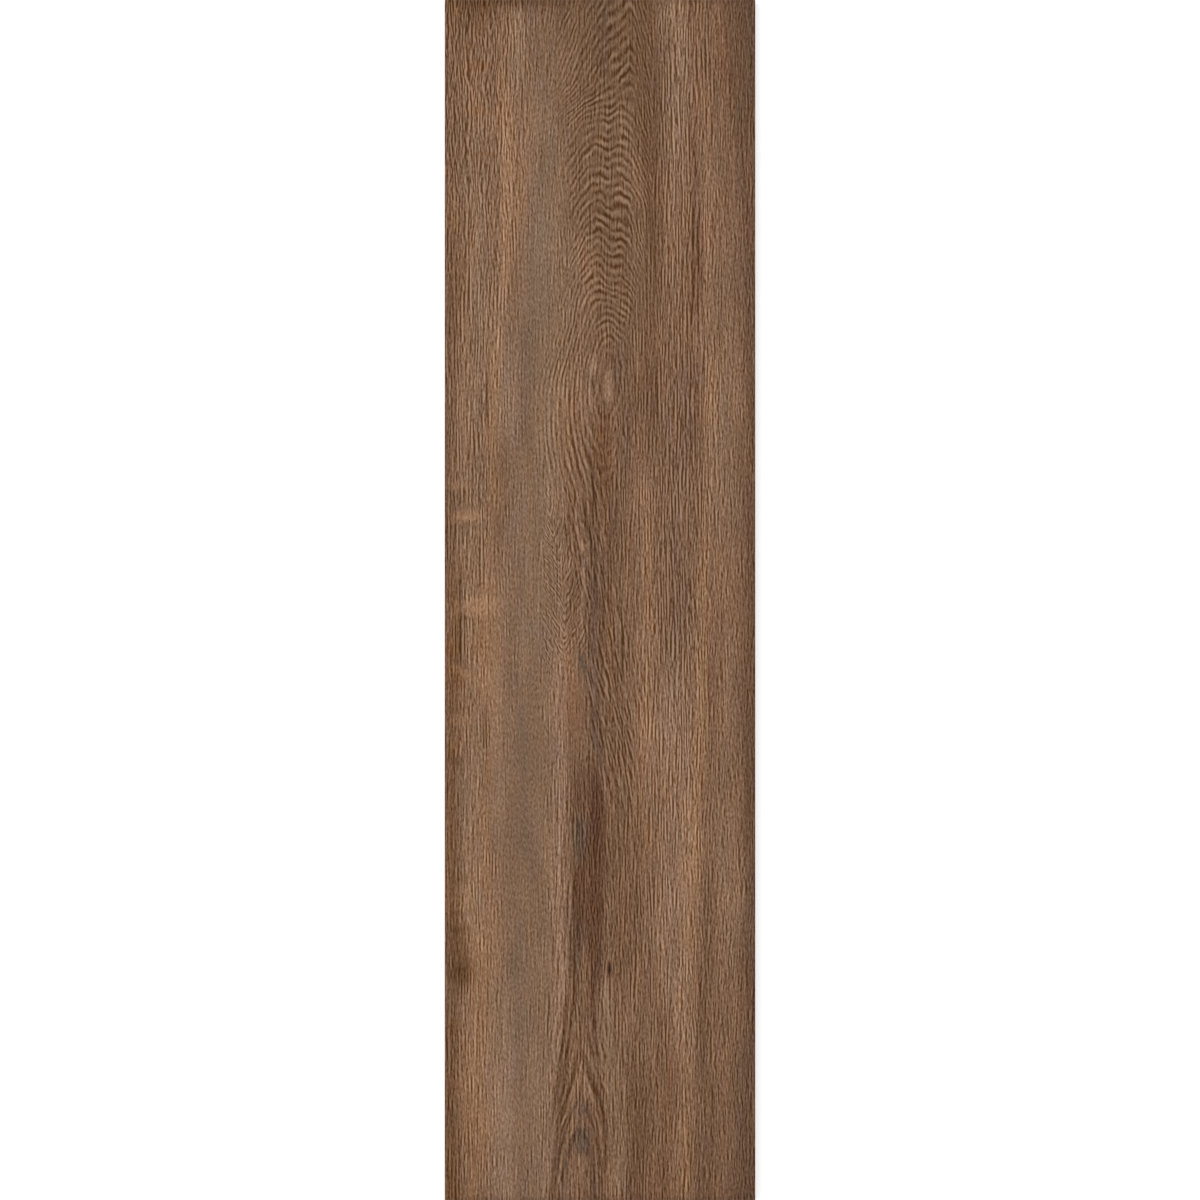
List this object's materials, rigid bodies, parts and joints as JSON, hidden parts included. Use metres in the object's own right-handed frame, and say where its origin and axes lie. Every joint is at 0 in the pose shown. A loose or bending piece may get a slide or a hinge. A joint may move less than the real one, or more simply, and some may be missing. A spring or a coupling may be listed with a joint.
{
  "type": "wood look porcelain plank tile",
  "caption": "Long flat pressed porcelain tile with a matt oak-grain printed face, softly rounded top edges and a shallow ribbed back for adhesive, laid as floor or wall cladding.",
  "frame": {"origin": "middle of the tile's back, on the plane of the back's ribs that it rests on", "axes": "+Y along the length, +X across the width, +Z out of the glazed face"},
  "size_m": [0.22, 0.85, 0.0095],
  "materials": {
    "glazed_porcelain": "matt glaze with a brown oak-grain print on the face, bare beige biscuit on the sides and back"
  },
  "bodies": {
    "root": {"plank_tile": "glazed_porcelain"}
  },
  "joints": []
}
